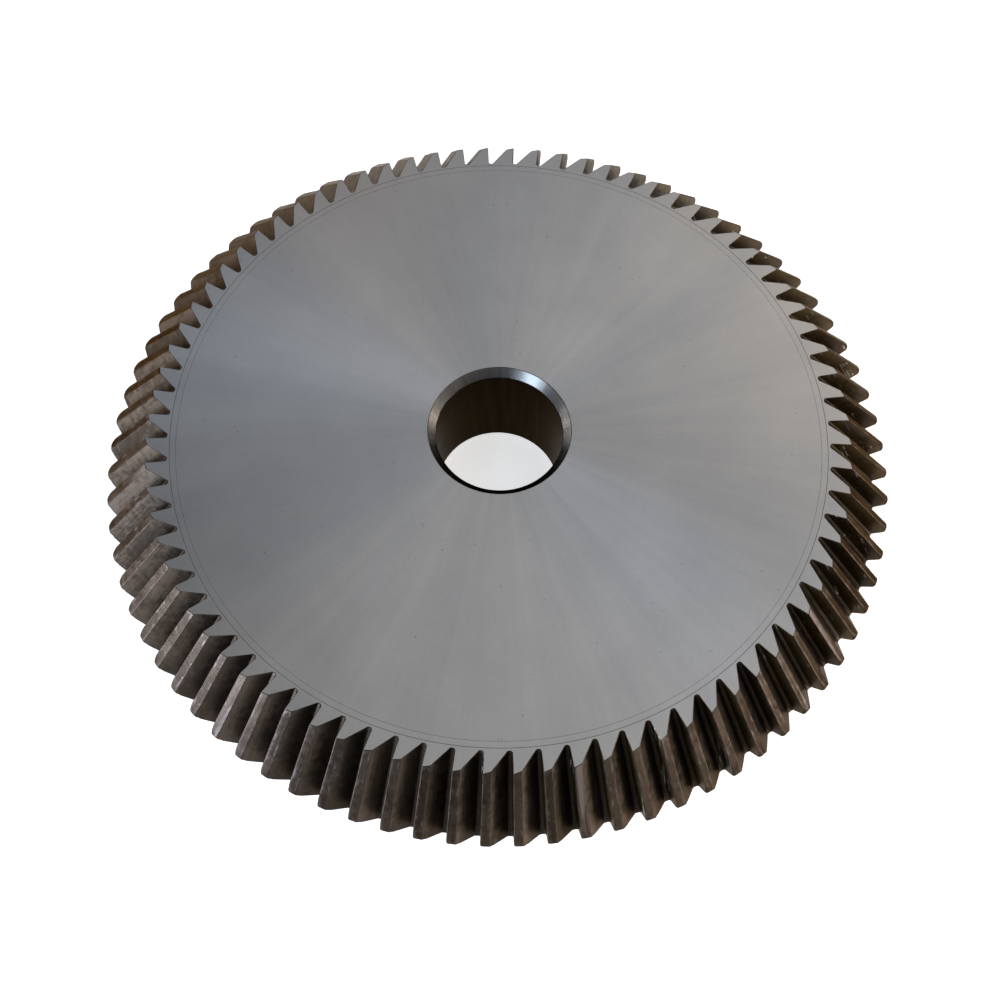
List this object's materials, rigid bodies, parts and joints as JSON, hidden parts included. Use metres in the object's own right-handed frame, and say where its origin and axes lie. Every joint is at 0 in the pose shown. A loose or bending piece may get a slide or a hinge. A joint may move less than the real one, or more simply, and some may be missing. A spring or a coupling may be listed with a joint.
{
  "type": "toothed gear wheel",
  "caption": "Flat steel gear wheel with straight saw-shaped teeth on a conical rim, a plain central bore and a short hub behind.",
  "frame": {"origin": "on the bore axis at the flat back face of the hub", "axes": "+Z along the bore axis towards the smaller, flat front face; the first groove lies beside -Y"},
  "size_m": [0.1268, 0.1268, 0.0206],
  "materials": {
    "steel": "turned satin faces, milled tooth flanks"
  },
  "bodies": {
    "root": {"gear_wheel": "steel"}
  },
  "joints": []
}
